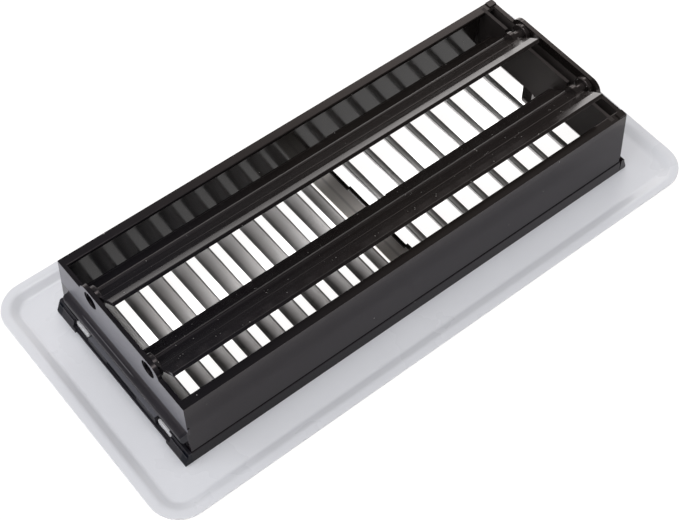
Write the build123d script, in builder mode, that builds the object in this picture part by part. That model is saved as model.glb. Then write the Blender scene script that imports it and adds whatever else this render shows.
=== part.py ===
from build123d import *
import os
from math import sin, cos, radians

os.makedirs("parts", exist_ok=True)

# ---------------------------------------------------------------- dimensions
# The register lies face down: the face plane is z = 0, the duct side is up.
# +X points to the lever end, -Y is the near long wall.

# faceplate
plate_l = 293.4            # outside length of the plate (nominal 11 1/2 in)
plate_w = 138.2            # outside width of the plate
corner_r = 15.0            # plate corner radius
sheet_t = 0.7              # sheet thickness
border_w = 8.1             # from the edge to the foot of the border's riser
riser_w = 4.2              # width of the sloped riser
land_z = 3.1               # top of the flat land along the edge
bend_r = 3.0               # radius of the bends at both ends of the riser
slot_end_x = 121.4         # half length of the grille opening
slot_end_y = 41.0          # half width of the grille opening
fin_half = 42.4            # half length of a louvre fin
fin_t = 0.7
fin_ro = 6.06              # outer radius of a louvre fin
fin_z = 0.35               # underside of the fins above the face plane
fin_pitch = 12.4
fin_left = -111.2          # base edge of the first fin of the left bank
fin_right = 26.2           # base edge of the first fin of the right bank
n_left, n_right = 8, 8
lug_x = 121.95             # middle of the holding lugs
lug_y = 30.4
lug_w = 10.0
lug_h = 6.9

# damper box
box_z0 = sheet_t           # the box stands on the sheet
rim_z = 38.5               # top of the walls
top_l, top_w = 240.7, 90.0 # outside at the rim
base_l, base_w = 241.8, 94.9
wall = 2.0
lip_y = 40.6               # inner edge of the rim lips
lip_t = 2.0
ear_z = 43.3               # top of the pivot ears
ear_half = 28.2            # half width of the raised end walls
ear_r = 5.5
skirt_z = 6.9              # top of the base skirt
skirt_w = 95.7             # width over the skirt
skirt_x = 123.4            # outer face of the end skirts
flange_z = 2.2
foot_x = 124.7             # outer face of the corner feet
part_x0, part_t = 112.5, 1.6   # lever pocket partition
part_z = 13.9              # lower edge of the partition
notch_w = 12.0
notch_z = 31.2
hole_r = 4.2               # pivot holes
cross_z0, cross_z1 = 0.8, 1.9  # cross rib over the grille's centre divider

# blades
pivot_y = 20.6
pivot_z = 37.7
tilt = 40.0                # blade angle from level, as shown
warp = 0.7                 # half the twist of a blade from end to end
tilt_shut = 8.0
tilt_open = 90.0
blade_x0, blade_x1 = -117.6, 111.8
near_half = 19.8
far_half = 18.6
blade_t = 2.0
facet_u = -14.2            # where the facet along the near edge starts
facet_drop = 0.34
disc_r, disc_t = 5.2, 2.0
disc_x = 118.1             # outer face of the end discs
pin_r = 4.15
pin_bore_r = 3.1
pin_end = 119.9
axle_r = 2.8
hub_r = 4.2
crank_r = 8.5              # crank radius
crank_pin_r = 1.5
crank_lobe_r = 2.7

# lever link
link_x0, link_x1 = 114.4, 115.8
link_w = 4.0
link_eye_r = 3.1
lever_y = 9.1
lever_w = 6.2
lever_z = 0.9              # lower end of the finger tab

# the crank hangs straight down at the middle of the travel
travel_mid = (tilt_open + tilt_shut) / 2
crank_a = radians(travel_mid - tilt)
crank_dy = crank_r * sin(crank_a)
crank_dz = -crank_r * cos(crank_a)
link_z = pivot_z + crank_dz

# ---------------------------------------------------------------- faceplate
hl, hw, r = plate_l / 2, plate_w / 2, corner_r

with BuildPart() as faceplate:
    # turned-up border, swept round the rounded rectangle of the plate edge
    with BuildLine() as edge_path:
        Line((0, -hw), (hl - r, -hw))
        CenterArc((hl - r, -hw + r), r, -90, 90)
        Line((hl, -hw + r), (hl, hw - r))
        CenterArc((hl - r, hw - r), r, 0, 90)
        Line((hl - r, hw), (-hl + r, hw))
        CenterArc((-hl + r, hw - r), r, 90, 90)
        Line((-hl, hw - r), (-hl, -hw + r))
        CenterArc((-hl + r, -hw + r), r, 180, 90)
        Line((-hl + r, -hw), (0, -hw))
    with BuildSketch(Plane(origin=(0, -hw, 0), x_dir=(0, 1, 0), z_dir=(1, 0, 0))) as border:
        with BuildLine():
            Polyline(
                (0, land_z - sheet_t), (border_w - riser_w - 0.19, land_z - sheet_t),
                (border_w - 0.19, 0), (14, 0), (14, sheet_t), (border_w, sheet_t),
                (border_w - riser_w, land_z), (0, land_z), close=True,
            )
        make_face()
        foot, head = border_w, border_w - riser_w
        fillet(border.vertices().filter_by(lambda v: abs(v.X - foot) < 1e-3), bend_r)
        fillet(border.vertices().filter_by(lambda v: abs(v.X - foot + 0.19) < 1e-3), bend_r + sheet_t)
        fillet(border.vertices().filter_by(lambda v: abs(v.X - head) < 1e-3), bend_r + sheet_t)
        fillet(border.vertices().filter_by(lambda v: abs(v.X - head + 0.19) < 1e-3), bend_r)
        fillet(border.vertices().filter_by(lambda v: v.X < 1e-3 and v.Y > land_z - 1e-3), 0.2)
    sweep(path=edge_path.wires()[0])
    # flat of the plate
    with BuildSketch() as flat:
        RectangleRounded(plate_l - 26, plate_w - 26, corner_r - 13)
    extrude(amount=sheet_t)
    # grille opening
    with BuildSketch() as opening:
        RectangleRounded(2 * slot_end_x, 2 * slot_end_y, 1.5)
    extrude(amount=5, both=True, mode=Mode.SUBTRACT)
    # louvre fins: quarter-round strips, the two banks curl towards the middle
    with BuildSketch(Plane.XZ.offset(-fin_half)) as fins:
        bases = [(fin_left + fin_pitch * i, fin_ro, 1) for i in range(n_left)]
        bases += [(fin_left + fin_pitch * n_left, 5.6, 1), (-1.6, 4.0, 1)]
        bases += [(fin_right + fin_pitch * i, fin_ro, -1) for i in range(n_right)]
        for bx, ro, side in bases:
            zc = fin_z + ro
            ri = ro - fin_t
            a0, a1 = (-90, 90) if side > 0 else (-180, 90)
            with BuildLine():
                CenterArc((bx, zc), ro, a0, a1)
                CenterArc((bx, zc), ri, a0, a1)
                Line((bx, zc - ro), (bx, zc - ri))
                Line((bx + side * ri, zc), (bx + side * ro, zc))
            make_face()
    extrude(amount=2 * fin_half)
    # centre divider with a shallow crease
    with BuildSketch(Plane.XZ.offset(-fin_half)) as divider:
        with BuildLine():
            Polyline(
                (4.9, 1.0), (11.6, 0), (15.6, 0), (15.6, sheet_t),
                (11.6, sheet_t), (4.9, 1.0 + sheet_t), close=True,
            )
        make_face()
        fillet(divider.vertices().filter_by(lambda v: abs(v.X - 11.6) < 1e-3), 4.0)
    extrude(amount=2 * fin_half)
    # lugs that stand in the notches of the box skirt
    with Locations(*[(sx * lug_x, sy * lug_y, lug_h / 2) for sx in (-1, 1) for sy in (-1, 1)]):
        Box(0.7, lug_w, lug_h)
    tips = faceplate.edges().filter_by(Axis.X).filter_by(
        lambda e: abs(e.center().Z - lug_h) < 0.01 and abs(abs(e.center().X) - lug_x) < 0.5
    )
    fillet(tips, 1.8)

faceplate.part.label = "faceplate"
export_step(faceplate.part, "parts/faceplate.step")

# ---------------------------------------------------------------- ledge bar of the damper box
with BuildPart() as ledge_bar:
    # flat on top with a hollow corner to the wall, running out in a rounded nose at the far end
    with BuildSketch(Plane.XZ.offset(46.2)) as ledge:
        with BuildLine():
            Polyline(
                (-119.5, 24.6), (-120.5, 24.6), (-120.5, 21.8), (-124.4, 21.8),
                (-124.4, 18.8), (-123.3, 16.4), (-119.5, 16.4), close=True,
            )
        make_face()
        fillet(ledge.vertices().filter_by(lambda v: abs(v.X + 120.5) < 0.01 and v.Y < 22), 1.7)
        fillet(ledge.vertices().filter_by(lambda v: v.X < -124), 0.6)
    extrude(amount=-(46.2 + 39.9))
    with BuildSketch(Plane.XY.offset(15)) as ledge_plan:
        with BuildLine():
            Polyline((-119, -47), (-124.5, -47), (-124.5, 39.9), (-119, 39.9), close=True)
        make_face()
        fillet(ledge_plan.vertices().filter_by(lambda v: v.X < -124 and v.Y > 39), 2.0)
    extrude(amount=10, mode=Mode.INTERSECT)

# ---------------------------------------------------------------- damper box
with BuildPart() as damper_box:
    # drafted walls
    with BuildSketch(Plane.XY.offset(box_z0)):
        Rectangle(base_l, base_w)
    with BuildSketch(Plane.XY.offset(rim_z)):
        Rectangle(top_l, top_w)
    loft(ruled=True)
    upright = damper_box.edges().filter_by(lambda e: abs((e @ 1 - e @ 0).Z) > 20)
    fillet(upright, 0.3)
    # base skirt: close to the long walls, standing out at the ends
    with BuildSketch(Plane.XY.offset(box_z0)):
        Rectangle(2 * skirt_x, skirt_w)
    with BuildSketch(Plane.XY.offset(skirt_z)):
        Rectangle(2 * skirt_x, skirt_w - 0.8)
    loft(ruled=True)
    # corner feet, sloping down and out from the skirt
    for s in (-1, 1):
        with BuildSketch(Plane.XZ.offset(skirt_w / 2)) as foot:
            with BuildLine():
                Polyline(
                    (s * 121.0, box_z0), (s * foot_x, box_z0), (s * foot_x, 2.1),
                    (s * 122.3, 8.3), (s * 121.0, 8.3), close=True,
                )
            make_face()
        extrude(amount=-13.9)
        with BuildSketch(Plane.XZ.offset(-skirt_w / 2)):
            with BuildLine():
                Polyline(
                    (s * 121.0, box_z0), (s * foot_x, box_z0), (s * foot_x, 2.1),
                    (s * 122.3, 8.3), (s * 121.0, 8.3), close=True,
                )
            make_face()
        extrude(amount=13.9)
    # inside of the walls
    with BuildSketch(Plane.XY.offset(box_z0 - 0.1)):
        Rectangle(base_l - 2 * wall, base_w - 2 * wall)
    with BuildSketch(Plane.XY.offset(rim_z + 0.1)):
        Rectangle(top_l - 2 * wall, top_w - 2 * wall)
    loft(ruled=True, mode=Mode.SUBTRACT)
    # the skirt is hollow under the end walls
    with Locations((0, 0, box_z0 + 2.1)):
        Box(2 * 121.6, 80, 4.2, mode=Mode.SUBTRACT)
    # foot flange along the two ends
    with BuildSketch(Plane.XY.offset(box_z0)):
        for s in (-1, 1):
            with Locations((s * 123.6, 0)):
                Rectangle(1.0, skirt_w - 20)
    extrude(amount=flange_z - box_z0)
    # rim lips of the long walls, rounded along their inner edges
    for side in (-1, 1):
        with BuildSketch(Plane.YZ.offset(-119)) as lip:
            with Locations((side * (lip_y + 44.4) / 2, rim_z - lip_t / 2)):
                Rectangle(44.4 - lip_y, lip_t)
            fillet(lip.vertices().filter_by(lambda v: abs(abs(v.X) - lip_y) < 1e-3), 0.5)
        extrude(amount=238)
    # raised end walls with rounded ears
    for s in (-1, 1):
        x_in = top_l / 2 - wall
        base = Plane(origin=(s * x_in, 0, 0), x_dir=(0, s, 0), z_dir=(s, 0, 0))
        with BuildSketch(base) as ears:
            with BuildLine():
                Polyline(
                    (-ear_half, rim_z - 6), (ear_half, rim_z - 6),
                    (ear_half, ear_z), (-ear_half, ear_z), close=True,
                )
            make_face()
            fillet(ears.vertices().group_by(Axis.Y)[-1], ear_r)
        extrude(amount=wall)
    # partition of the lever pocket
    with BuildSketch(Plane.YZ.offset(part_x0)) as partition:
        with BuildLine():
            Polyline((-43.2, rim_z), (43.2, rim_z), (44.9, part_z), (-44.9, part_z), close=True)
        make_face()
        with Locations((pivot_y, (notch_z + rim_z) / 2 + 1), (-pivot_y, (notch_z + rim_z) / 2 + 1)):
            Rectangle(notch_w, rim_z - notch_z + 2, mode=Mode.SUBTRACT)
    extrude(amount=part_t)
    # raised corner blocks beside the pocket
    with Locations((118.2, 43.2, rim_z + 0.35), (118.2, -43.2, rim_z + 0.35)):
        Box(4.0, 3.2, 0.7)
    # stepped cross rib over the right edge of the grille's divider
    with BuildSketch(Plane.XY.offset(cross_z0)):
        for y0, y1, x1 in ((21.5, 46.2, 16.4), (-5.0, 21.9, 17.1), (-19.5, -4.6, 16.0), (-46.2, -19.1, 17.0)):
            with Locations((x1 - 0.75, (y0 + y1) / 2)):
                Rectangle(1.5, y1 - y0)
    extrude(amount=cross_z1 - cross_z0)
    # pivot holes through both end walls
    with BuildSketch(Plane.YZ.offset(-125)):
        with Locations((pivot_y, pivot_z), (-pivot_y, pivot_z)):
            Circle(hole_r)
    extrude(amount=250, mode=Mode.SUBTRACT)
    # notches in the skirt for the lugs of the faceplate
    with Locations(*[(sx * 122.0, sy * lug_y, 4.1) for sx in (-1, 1) for sy in (-1, 1)]):
        Box(1.0, lug_w + 0.8, 7.2, mode=Mode.SUBTRACT)
    with Locations(*[(sx * 123.1, sy * lug_y, 5.3) for sx in (-1, 1) for sy in (-1, 1)]):
        Box(2.4, lug_w + 0.8, 5.0, mode=Mode.SUBTRACT)
    # shallow grip hollow in the middle of each end skirt
    with BuildSketch(Plane.YZ.offset(-125.5)):
        with Locations((0, 4.6)):
            SlotOverall(22, 3.2)
    extrude(amount=2.9, mode=Mode.SUBTRACT)
    # ledge bar across the left end wall
    add(ledge_bar.part)
    # grip recess along the lower front of the ledge
    with Locations((-125.2, -2.5, 17.0)):
        Box(1.7, 41, 2.0, mode=Mode.SUBTRACT)

damper_box.part.label = "damper_box"
export_step(damper_box.part, "parts/damper_box.step")


# ---------------------------------------------------------------- blades
def damper_blade(y0):
    def section(x, a=tilt):
        # x_dir runs from the near edge to the far edge
        across = Vector(0, cos(radians(a)), -sin(radians(a)))
        return Plane(origin=(x, y0, pivot_z), x_dir=across, z_dir=(1, 0, 0))

    with BuildPart() as blade:
        # disc with its crank lobe at the right end
        disc_plane = Plane(origin=(disc_x - disc_t, y0, pivot_z), x_dir=(0, 1, 0), z_dir=(1, 0, 0))
        with BuildSketch(disc_plane):
            Circle(disc_r)
            with Locations((crank_dy, crank_dz)):
                Circle(crank_lobe_r)
            make_hull()
        extrude(amount=disc_t)
        fillet(blade.edges().filter_by(lambda e: e.center().X < disc_x - disc_t + 0.01), 0.45)
        # end disc at the left end
        with BuildSketch(section(-disc_x)):
            Circle(disc_r)
        extrude(amount=disc_t)
        fillet(blade.edges().filter_by(lambda e: abs(e.center().X + disc_x - disc_t) < 0.01), 0.45)
        # flat blade with a stepped rib beside its axis and a facet along its near edge
        h = blade_t / 2
        low = h - 0.12
        for x, a in ((blade_x0, tilt + warp), (blade_x1, tilt - warp)):
            with BuildSketch(section(x, a)) as profile:
                with BuildLine():
                    Polyline(
                        (facet_u, low), (-near_half, low - facet_drop), (-near_half, -h - 0.25),
                        (facet_u, -h), (far_half, -h),
                        (far_half, h + 0.2), (far_half - 1.6, h + 0.2), (far_half - 1.8, h),
                        (4.6, h), (4.5, h + 0.8), (3.8, h + 0.8), (3.7, h + 0.45), (2.7, h + 0.45),
                        (2.6, h), (-7.0, h), (-7.15, low), close=True,
                    )
                make_face()
                rib = profile.vertices().filter_by(lambda v: v.Y > h + 0.4)
                fillet(rib, 0.2)
                rims = profile.vertices().filter_by(
                    lambda v: abs(v.X + near_half) < 1e-3 or abs(v.X - far_half) < 1e-3
                )
                fillet(rims, 0.3)
        loft(ruled=True)
        # stepped notch in the far edge
        with BuildSketch(section(4.0)):
            with Locations((far_half, 0)):
                Rectangle(2.4, 4)
        extrude(amount=10, mode=Mode.SUBTRACT)
        # pivot pin at the left end
        with BuildSketch(section(-pin_end)):
            Circle(pin_r)
        extrude(amount=pin_end - disc_x)
        # hub, axle, crank pin and pivot pin at the right end
        with BuildSketch(section(109.6)):
            Circle(hub_r)
        extrude(amount=2.2)
        with BuildSketch(section(111.5)):
            Circle(axle_r)
        extrude(amount=disc_x - 111.5)
        with BuildSketch(Plane(origin=(link_x0 - 0.1, y0, pivot_z), x_dir=(0, 1, 0), z_dir=(1, 0, 0))):
            with Locations((crank_dy, crank_dz)):
                Circle(crank_pin_r)
        extrude(amount=disc_x - disc_t - link_x0 + 0.2)
        with BuildSketch(section(disc_x)):
            Circle(pin_r)
        extrude(amount=pin_end - disc_x)
        # both pivot pins are hollow and split crosswise so that they snap into the ears
        for x0, d in ((-pin_end, 1), (pin_end, -1)):
            with BuildSketch(section(x0)):
                Rectangle(1.8, 2 * pin_r + 1)
                Rectangle(2 * pin_r + 1, 1.8)
            extrude(amount=1.9 * d, mode=Mode.SUBTRACT)
            with BuildSketch(section(x0)):
                Circle(pin_bore_r)
            extrude(amount=2.7 * d, mode=Mode.SUBTRACT)
    return blade


far_blade = damper_blade(pivot_y)
far_blade.part.label = "far_blade"
export_step(far_blade.part, "parts/far_blade.step")

near_blade = damper_blade(-pivot_y)
near_blade.part.label = "near_blade"
export_step(near_blade.part, "parts/near_blade.step")

# ---------------------------------------------------------------- lever link
with BuildPart() as lever_link:
    ya, yb = -pivot_y + crank_dy, pivot_y + crank_dy
    with BuildSketch(Plane.YZ.offset(link_x0)):
        # link bar with an eye at each crank pin
        with Locations(((ya + yb) / 2, link_z)):
            Rectangle(yb - ya, link_w)
        with Locations((ya, link_z), (yb, link_z)):
            Circle(link_eye_r)
        # lever stem
        with Locations((lever_y, (link_z + lever_z) / 2)):
            Rectangle(lever_w, link_z - lever_z)
        with Locations((yb, link_z)):
            Circle(crank_pin_r + 0.05, mode=Mode.SUBTRACT)
        with Locations((ya, link_z)):
            Circle(crank_pin_r + 0.15, mode=Mode.SUBTRACT)
    extrude(amount=link_x1 - link_x0)
    # finger tab in the end slot of the grille
    with Locations((link_x0 + 1.6, lever_y, lever_z + 3.2)):
        Box(3.2, lever_w, 6.4)
    tab_edges = lever_link.edges().filter_by(Axis.X).filter_by(lambda e: e.center().Z < lever_z + 0.1)
    fillet(tab_edges, 1.2)

lever_link.part.label = "lever_link"
export_step(lever_link.part, "parts/lever_link.step")

print("crank pin at rest", round(crank_dy, 3), round(link_z, 3))
print("travel", tilt_shut - tilt, tilt_open - tilt)
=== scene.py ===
import math
import bpy
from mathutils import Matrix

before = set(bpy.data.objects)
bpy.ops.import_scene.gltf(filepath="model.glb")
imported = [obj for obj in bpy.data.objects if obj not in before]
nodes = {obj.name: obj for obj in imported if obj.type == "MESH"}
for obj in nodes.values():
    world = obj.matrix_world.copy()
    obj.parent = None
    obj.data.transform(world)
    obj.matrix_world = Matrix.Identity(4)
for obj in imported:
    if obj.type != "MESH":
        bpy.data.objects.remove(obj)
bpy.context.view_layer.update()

scene = bpy.context.scene


# ------------------------------------------------------------------ materials
class Graph:
    """Small helper to lay out a node tree."""

    def __init__(self, name=None, tree=None):
        if tree is None:
            self.mat = bpy.data.materials.new(name)
            self.mat.use_nodes = True
            tree = self.mat.node_tree
            tree.nodes.clear()
            self.out = tree.nodes.new("ShaderNodeOutputMaterial")
        self.t = tree

    def node(self, kind, **values):
        n = self.t.nodes.new(kind)
        for k, v in values.items():
            if k.startswith("in_"):
                key = k[3:]
                n.inputs[int(key) if key.isdigit() else key.replace("_", " ")].default_value = v
            else:
                setattr(n, k, v)
        return n

    def link(self, a, b):
        self.t.links.new(a, b)

    def math(self, op, a, b=None, clamp=False):
        n = self.t.nodes.new("ShaderNodeMath")
        n.operation = op
        n.use_clamp = clamp
        for i, v in enumerate((a, b)):
            if v is None:
                continue
            if isinstance(v, (int, float)):
                n.inputs[i].default_value = v
            else:
                self.link(v, n.inputs[i])
        return n.outputs[0]

    def rise(self, x, lo, hi):
        """0 below lo, 1 above hi, straight in between."""
        return self.math("MULTIPLY", self.math("SUBTRACT", x, lo), 1.0 / (hi - lo), clamp=True)

    def band(self, x, lo, hi, soft):
        """1 where lo < x < hi, with flanks of the width soft."""
        return self.math("MULTIPLY", self.rise(x, lo, lo + soft), self.rise(x, hi, hi - soft))

    def ramp(self, fac, stops):
        n = self.t.nodes.new("ShaderNodeValToRGB")
        el = n.color_ramp.elements
        while len(el) < len(stops):
            el.new(0.5)
        for e, (p, c) in zip(el, stops):
            e.position = p
            e.color = (c, c, c, 1) if isinstance(c, (int, float)) else (*c, 1)
        self.link(fac, n.inputs[0])
        return n.outputs[0]

    def noise(self, co, scale, detail=3.0, rough=0.5):
        n = self.t.nodes.new("ShaderNodeTexNoise")
        n.inputs["Scale"].default_value = scale
        n.inputs["Detail"].default_value = detail
        n.inputs["Roughness"].default_value = rough
        self.link(co, n.inputs["Vector"])
        return n.outputs["Fac"]

    def specks(self, co, scale, size, keep, seed):
        """Scattered round specks in loose clusters."""
        at = self.mapping(co, loc=seed)
        v = self.node("ShaderNodeTexVoronoi", feature="F1", in_Scale=scale)
        self.link(at, v.inputs["Vector"])
        dot = self.rise(v.outputs["Distance"], size, size * 0.6)
        pick = self.rise(self.noise(at, scale * 0.35, 1.0, 0.5), keep, keep + 0.02)
        return self.math("MULTIPLY", dot, pick)

    def mapping(self, co, scale=(1, 1, 1), rot=(0, 0, 0), loc=(0, 0, 0)):
        n = self.t.nodes.new("ShaderNodeMapping")
        n.inputs["Scale"].default_value = scale
        n.inputs["Rotation"].default_value = rot
        n.inputs["Location"].default_value = loc
        self.link(co, n.inputs["Vector"])
        return n.outputs[0]

    def mix(self, fac, a, b):
        n = self.t.nodes.new("ShaderNodeMix")
        n.data_type = "RGBA"
        if isinstance(fac, (int, float)):
            n.inputs[0].default_value = fac
        else:
            self.link(fac, n.inputs[0])
        for s, v in ((6, a), (7, b)):
            if isinstance(v, tuple):
                n.inputs[s].default_value = (*v, 1)
            else:
                self.link(v, n.inputs[s])
        return n.outputs[2]

    def lerp(self, fac, a, b):
        """From a to the number b as fac goes from 0 to 1."""
        return self.math("ADD", self.math("MULTIPLY", self.math("SUBTRACT", b, a), fac), a)

    def split(self, co):
        n = self.t.nodes.new("ShaderNodeSeparateXYZ")
        self.link(co, n.inputs[0])
        return n.outputs


def white_enamel():
    g = Graph("white_enamel")
    co = g.node("ShaderNodeTexCoord").outputs["Object"]
    x, y, z = g.split(co)
    up = g.split(g.node("ShaderNodeNewGeometry").outputs["Normal"])[2]
    p = g.node("ShaderNodeBsdfPrincipled")
    cloud = g.noise(co, 22.0, 4.0, 0.55)
    fine = g.noise(co, 900.0, 2.0, 0.5)
    tone = g.mix(g.ramp(cloud, [(0.35, 0.0), (0.7, 1.0)]), (0.792, 0.800, 0.832), (0.762, 0.770, 0.802))
    # the duct side of the grille has a warmer coat
    inside = g.math("MULTIPLY", g.band(x, -0.1222, 0.1222, 0.0004), g.band(y, -0.0434, 0.0434, 0.0004))
    tone = g.mix(inside, tone, (0.815, 0.802, 0.795))
    # painted shade: the up-facing roots of the louvres deep in the box are painted dark, by amounts that vary across
    # the grille
    low = g.ramp(g.rise(z, 0.0012, 0.0032), [(0.05, 1.0), (0.14, 0.85), (0.295, 0.5), (0.51, 0.25), (0.75, 0.10), (1.0, 0.0)])
    left = g.math("MULTIPLY", g.rise(x, 0.0035, 0.0030), g.lerp(g.math("MULTIPLY", g.rise(x, -0.100, -0.085), g.rise(y, -0.002, 0.007)), 1.0, 0.42))
    shade_depth = g.math("MAXIMUM", g.math("MULTIPLY", low, left), g.math("MULTIPLY", g.rise(z, 0.00175, 0.00115), 0.8))
    root_shade = g.math("MULTIPLY", shade_depth, g.rise(up, 0.05, 0.35))
    # painted light: the divider web is painted a lighter, warmer white than the plate, and is kept out of the painted
    # root shade
    lit_web = g.band(x, 0.0035, 0.0175, 0.0004)
    root_shade = g.math("MULTIPLY", g.math("MULTIPLY", root_shade, inside), g.math("SUBTRACT", 1.0, lit_web))
    mottle = g.ramp(g.noise(co, 160.0, 4.0, 0.6), [(0.3, 0.86), (0.7, 1.0)])
    tone = g.mix(g.math("MULTIPLY", g.math("MULTIPLY", root_shade, mottle), 0.97), tone, (0.105, 0.102, 0.099))
    # painted shade along the crease of the divider web
    crease_shade = g.math("MULTIPLY", g.band(x, 0.0090, 0.0112, 0.0009), inside)
    tone = g.mix(g.math("MULTIPLY", lit_web, inside), tone, (0.94, 0.895, 0.84))
    tone = g.mix(g.math("MULTIPLY", crease_shade, 0.40), tone, (0.30, 0.285, 0.27))
    # painted shade: the short louvre next to the divider is painted greyer
    short_shade = g.math("MULTIPLY", g.band(x, -0.0019, 0.0031, 0.0003), inside)
    tone = g.mix(g.math("MULTIPLY", short_shade, 0.85), tone, (0.40, 0.392, 0.385))
    # painted light: the lugs in the skirt windows are painted a brighter white than the plate
    lit_lug = g.math("MULTIPLY", g.band(g.math("ABSOLUTE", x), 0.1212, 0.1228, 0.0002), g.rise(z, 0.0008, 0.0012))
    lit_lug = g.math("MULTIPLY", lit_lug, g.rise(g.math("ABSOLUTE", y), 0.0440, 0.0430))
    tone = g.mix(lit_lug, tone, (0.93, 0.93, 0.94))
    # a few darker dust marks
    marks = g.specks(co, 130.0, 0.030, 0.54, (0.3, 0.1, 0.2))
    tone = g.mix(g.math("MULTIPLY", marks, 0.45), tone, (0.30, 0.29, 0.28))
    g.link(tone, p.inputs["Base Color"])
    rough = g.ramp(cloud, [(0.3, 0.25), (0.75, 0.34)])
    g.link(rough, p.inputs["Roughness"])
    b = g.node("ShaderNodeBump", in_Strength=0.12, in_Distance=0.00005)
    g.link(fine, b.inputs["Height"])
    g.link(b.outputs[0], p.inputs["Normal"])
    g.link(p.outputs[0], g.out.inputs[0])
    return g.mat


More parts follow.
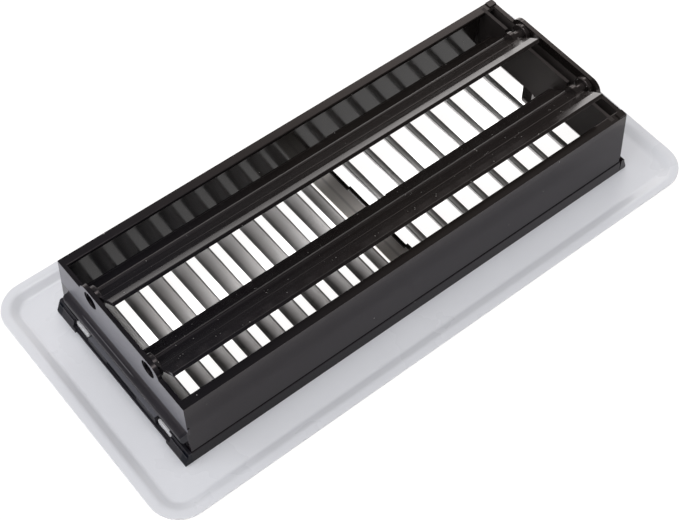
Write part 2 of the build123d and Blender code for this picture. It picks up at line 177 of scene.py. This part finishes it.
def black_plastic(name, box):
    g = Graph(name)
    co = g.node("ShaderNodeTexCoord").outputs["Object"]
    x, y, z = g.split(co)
    p = g.node("ShaderNodeBsdfPrincipled")
    cloud = g.noise(co, 30.0, 4.0, 0.6)
    streak = g.noise(g.mapping(co, scale=(9.0, 420.0, 420.0)), 1.0, 2.0, 0.6)
    base = g.mix(g.ramp(cloud, [(0.35, 0.0), (0.7, 1.0)]), (0.0110, 0.0089, 0.0080), (0.0138, 0.0113, 0.0103))
    rough = g.ramp(g.noise(co, 140.0, 3.0, 0.6), [(0.3, 0.12), (0.75, 0.18)])
    # the black turns a little cooler towards the left end
    cool = g.math("MULTIPLY", g.rise(x, 0.0, -0.10), 0.85)
    if box:
        base = g.mix(cool, base, (0.0102, 0.0096, 0.0122))
        # the outer walls have a cooler cast; the left end wall, its foot and the partition are finely matted. The left
        # end wall's outward face, the skirt tops between its lugs and the ledge atop the long walls' skirts are painted
        # lighter, as painted light
        nx, ny, nz = g.split(g.node("ShaderNodeNewGeometry").outputs["Normal"])
        outer = g.rise(g.math("ABSOLUTE", y), 0.0447, 0.0451)
        base = g.mix(outer, base, (0.0046, 0.0018, 0.0036))
        face = g.rise(nx, -0.7, -0.95)
        # painted light: the upper outward face of the left end wall is painted far lighter than the black
        lit_end = g.math("MULTIPLY", g.band(x, -0.1212, -0.1192, 0.0003), g.rise(z, 0.0222, 0.0230))
        lit_end = g.math("MULTIPLY", lit_end, face)
        # painted light: the up-facing skirt tops between the lugs get the same light paint
        lit_skirt = g.math("MULTIPLY", g.band(x, -0.12345, -0.1206, 0.0002), g.band(y, -0.0246, 0.0246, 0.0004))
        lit_skirt = g.math("MULTIPLY", g.math("MULTIPLY", lit_skirt, g.band(z, 0.0062, 0.0080, 0.0004)), g.rise(nz, 0.6, 0.9))
        lit_end = g.math("MAXIMUM", lit_end, lit_skirt)
        # painted light: the up-facing ledge atop the skirts of the long walls is painted lighter than the black
        lit_shelf = g.math("MULTIPLY", g.math("MULTIPLY", outer, g.band(z, 0.0062, 0.0080, 0.0004)), g.rise(nz, 0.4, 0.8))
        grain = g.ramp(cloud, [(0.3, 0.94), (0.7, 1.0)])
        within = g.rise(g.math("ABSOLUTE", y), 0.0436, 0.0433)
        part = g.math("MULTIPLY", g.band(x, 0.1122, 0.1143, 0.0002), within)
        foot = g.rise(x, -0.1207, -0.1212)
        # painted highlight: a light line along the hand hold on top of the ledge
        highlight_line = g.math("MULTIPLY", g.band(x, -0.12305, -0.12255, 0.00012), g.band(y, -0.012, 0.027, 0.003))
        highlight_line = g.math("MULTIPLY", highlight_line, g.rise(nz, 0.6, 0.9))
        patch = g.ramp(g.noise(g.mapping(co, scale=(1.0, 0.30, 1.0)), 90.0, 2.0, 0.5), [(0.35, 0.0), (0.68, 1.0)])
        base = g.mix(lit_shelf, base, (0.034, 0.031, 0.034))
        base = g.mix(foot, base, g.mix(patch, (0.0035, 0.0043, 0.0080), (0.0085, 0.0098, 0.0160)))
        base = g.mix(g.math("MULTIPLY", lit_end, grain), base, (0.215, 0.217, 0.243))
        base = g.mix(g.math("MULTIPLY", highlight_line, g.math("GREATER_THAN", z, 0.020)), base, (0.11, 0.11, 0.118))
        base = g.mix(part, base, (0.0165, 0.0140, 0.0130))
        pocket = g.math("MULTIPLY", g.band(x, 0.1144, 0.1192, 0.0002), g.rise(z, 0.0384, 0.0380))
        pocket = g.math("MULTIPLY", pocket, within)
        base = g.mix(pocket, base, (0.066, 0.057, 0.054))
        # the far wall's inside and the skirt are duller than the rest
        inner = g.math("MULTIPLY", g.rise(y, 0.0420, 0.0424), g.rise(ny, -0.6, -0.9))
        low = g.math("MULTIPLY", g.rise(g.math("ABSOLUTE", y), 0.0440, 0.0444), g.rise(z, 0.0078, 0.0074))
        low = g.math("MULTIPLY", low, g.lerp(g.rise(x, 0.10, -0.06), 0.4, 1.0))
        dull = g.math("MAXIMUM", g.math("MAXIMUM", inner, low), g.math("MULTIPLY", outer, 0.35))
        g.link(g.mix(dull, (1.0, 0.88, 0.87), (0.0, 0.0, 0.0)), p.inputs["Specular Tint"])
        rough = g.lerp(foot, rough, 0.52)
        rough = g.lerp(lit_end, rough, 0.42)
        rough = g.lerp(part, rough, 0.55)
    else:
        base = g.mix(cool, g.mix(0.5, base, (0.0185, 0.0155, 0.0142)), (0.0116, 0.0109, 0.0136))
        # across the blade, from its near edge to its far edge; the two blades lie on either side of y = 0
        span = g.math("SUBTRACT", y, g.math("MULTIPLY", g.math("SIGN", y), 0.0206))
        across = g.math("SUBTRACT", g.math("MULTIPLY", span, 0.766), g.math("MULTIPLY", g.math("SUBTRACT", z, 0.0377), 0.643))
        top = g.rise(g.math("ADD", g.math("MULTIPLY", span, 0.643), g.math("MULTIPLY", g.math("SUBTRACT", z, 0.0377), 0.766)), 0.0, 0.0004)
        far = g.math("MULTIPLY", g.rise(y, -0.001, 0.001), g.rise(x, -0.12, 0.11))
        lines = g.noise(g.mapping(co, scale=(5.0, 620.0, 620.0), loc=(0.0, 0.3, 0.7)), 1.0, 2.0, 0.55)
        # lengthwise streaks on the blade tops, painted lighter on the far blade and towards its right end as painted
        # reflection
        streaks_and_sheen = g.math("MULTIPLY", g.rise(lines, 0.42, 0.66), g.band(across, -0.0145, 0.0030, 0.0010))
        streaks_and_sheen = g.math("MULTIPLY", g.math("MULTIPLY", streaks_and_sheen, top), g.lerp(far, 0.16, 0.95))
        base = g.mix(streaks_and_sheen, base, (0.056, 0.054, 0.053))
        grey = g.math("MAXIMUM", g.rise(y, 0.001, -0.001), g.rise(across, 0.0035, 0.0015))
        base = g.mix(g.math("MULTIPLY", g.math("MULTIPLY", grey, top), g.rise(x, -0.02, 0.11)), base, (0.0220, 0.0185, 0.0175))
        # painted highlight: a light line along the top of the rib
        highlight_line = g.math("MULTIPLY", g.band(across, 0.0036, 0.0047, 0.0002), top)
        highlight_line = g.math("MULTIPLY", g.math("MULTIPLY", highlight_line, g.rise(lines, 0.25, 0.55)), g.rise(x, -0.15, 0.03))
        base = g.mix(highlight_line, base, (0.145, 0.140, 0.136))
    # hairlines rubbed along the moulding, and dust
    base = g.mix(g.ramp(streak, [(0.66, 0.0), (0.82, 0.22)]), base, (0.022, 0.020, 0.019))
    dust = g.specks(co, 150.0, 0.040, 0.52 if box else 0.51, (0.11, 0.37, 0.05))
    base = g.mix(dust, base, (0.55, 0.54, 0.52))
    if not box:
        # small clusters of fine dust
        fine = g.specks(co, 620.0, 0.19, 0.635, (0.43, 0.19, 0.31))
        base = g.mix(g.math("MULTIPLY", fine, g.lerp(g.rise(y, -0.001, 0.001), 0.75, 0.2)), base, (0.36, 0.35, 0.33))
    rough = g.lerp(dust, rough, 0.7)
    g.link(base, p.inputs["Base Color"])
    g.link(rough, p.inputs["Roughness"])
    p.inputs["IOR"].default_value = 1.46
    p.inputs["Specular Tint"].default_value = (1.0, 0.88, 0.87, 1)
    wave = g.noise(g.mapping(co, scale=(0.35, 1.0, 1.0)), 55.0, 2.0, 0.4)
    b = g.node("ShaderNodeBump", in_Strength=0.2, in_Distance=0.0002)
    g.link(wave, b.inputs["Height"])
    b2 = g.node("ShaderNodeBump", in_Strength=0.03, in_Distance=0.00004)
    g.link(streak, b2.inputs["Height"])
    g.link(b.outputs[0], b2.inputs["Normal"])
    g.link(b2.outputs[0], p.inputs["Normal"])
    g.link(p.outputs[0], g.out.inputs[0])
    return g.mat


white = white_enamel()
black_box = black_plastic("black_plastic_box", True)
black_blade = black_plastic("black_plastic_blade", False)
for name, mat in (("faceplate", white), ("damper_box", black_box), ("far_blade", black_blade),
                  ("near_blade", black_blade), ("lever_link", black_blade)):
    o = nodes[name]
    if not o.material_slots:
        o.data.materials.append(mat)
    for s in o.material_slots:
        s.material = mat

# ------------------------------------------------------------------ stage
bpy.ops.mesh.primitive_plane_add(size=24.0, location=(0, 0, -0.0004))
floor = bpy.context.object
floor.name = "floor"
g = Graph("floor_white")
p = g.node("ShaderNodeBsdfPrincipled")
fx, fy, fz = g.split(g.node("ShaderNodeTexCoord").outputs["Object"])
# painted light: the floor glows brighter towards the back right and below the grille
glow = g.math("MULTIPLY", g.rise(fx, 0.05, 0.29), g.rise(fy, 0.075, 0.105))
under = g.math("MULTIPLY", g.band(fx, -0.138, 0.138, 0.006), g.band(fy, -0.012, 0.025, 0.012))
g.link(g.math("ADD", g.lerp(glow, 0.98, 2.50), g.math("MULTIPLY", under, 0.95)), p.inputs["Emission Strength"])
p.inputs["Base Color"].default_value = (0.12, 0.12, 0.12, 1)
p.inputs["Roughness"].default_value = 0.9
p.inputs["Specular IOR Level"].default_value = 0.0
p.inputs["Emission Color"].default_value = (1.0, 0.985, 0.975, 1)
g.link(p.outputs[0], g.out.inputs[0])
floor.data.materials.append(g.mat)

# soft lights all around, as lobes of the surroundings: azimuth, elevation, tightness, strength
LEFT = [(180, 54, 14, 1.50), (180, 42, 30, 1.05), (188, 22, 20, 1.35), (150, 32, 30, 1.9), (135, 30, 16, 1.25), (240, 54, 14, 0.8)]
BACK = [(60, 8, 25, 2.3), (90, 8, 25, 1.2), (60, 19, 60, 0.6), (90, 19, 60, 1.4), (46, 38, 110, 4.5), (60, 41, 70, 0.75), (52, 47, 90, 0.5)]
RIGHT = [(0, 8, 25, 1.2), (330, 8, 25, 3.1), (0, 18, 40, 0.8), (30, 8, 25, 1.0), (0, 89, 60, 15.5), (285, 48, 14, 0.15)]
world = bpy.data.worlds.new("studio")
scene.world = world
world.use_nodes = True
world.node_tree.nodes.clear()
w = Graph(tree=world.node_tree)
way = w.node("ShaderNodeTexCoord").outputs["Generated"]
total = None
for lobes, tint in ((LEFT, (0.985, 0.990, 1.015)), (BACK, (1.02, 0.995, 0.97)), (RIGHT, (1.0, 0.995, 1.0))):
    level = 0.0
    for az, el, tight, strength in lobes:
        a, e = math.radians(az), math.radians(el)
        d = w.node("ShaderNodeVectorMath", operation="DOT_PRODUCT",
                   in_1=(math.cos(e) * math.cos(a), math.cos(e) * math.sin(a), math.sin(e)))
        w.link(way, d.inputs[0])
        fall = w.math("EXPONENT", w.math("MULTIPLY", w.math("SUBTRACT", d.outputs["Value"], 1.0), float(tight)))
        level = w.math("ADD", level, w.math("MULTIPLY", fall, strength))
    v = w.node("ShaderNodeVectorMath", operation="SCALE", in_0=tint)
    w.link(level, v.inputs["Scale"])
    if total is None:
        total = v.outputs[0]
    else:
        s = w.node("ShaderNodeVectorMath", operation="ADD")
        w.link(total, s.inputs[0])
        w.link(v.outputs[0], s.inputs[1])
        total = s.outputs[0]
sky = w.node("ShaderNodeBackground", in_1=0.8)
w.link(total, sky.inputs[0])
w.link(sky.outputs[0], w.node("ShaderNodeOutputWorld").inputs[0])

# ------------------------------------------------------------------ camera
cam_data = bpy.data.cameras.new("camera")
cam = bpy.data.objects.new("camera", cam_data)
scene.collection.objects.link(cam)
cam.location = (-0.255989, -0.306229, 0.556596)
cam.rotation_euler = (0.6073039927936489, -0.006500528257828098, -0.674033255793704)
cam_data.sensor_width = 36.0
cam_data.lens = 80.8355
cam_data.clip_start = 0.01
cam_data.clip_end = 60.0
scene.camera = cam

scene.view_settings.view_transform = "Standard"
scene.view_settings.look = "None"
